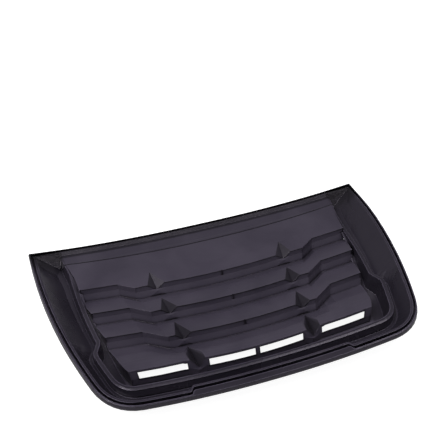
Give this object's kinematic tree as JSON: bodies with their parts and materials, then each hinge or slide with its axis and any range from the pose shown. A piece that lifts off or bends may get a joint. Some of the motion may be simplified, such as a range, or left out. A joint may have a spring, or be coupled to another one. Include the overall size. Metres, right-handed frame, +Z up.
{
  "type": "bonnet vent",
  "caption": "Arched bonnet vent moulding with stepped louvre slats, open slots along the front and a grooved rim, lying with its underside up.",
  "frame": {"origin": "under the middle of the part, on the surface it lies on", "axes": "+X to the right across the width, +Y from the bowed front edge to the straight far edge, +Z up out of the underside"},
  "size_m": [0.6602, 0.4082, 0.0695],
  "materials": {
    "black_plastic": "semi-gloss, lightly grained"
  },
  "bodies": {
    "root": {"vent_shell": "black_plastic"}
  },
  "joints": []
}
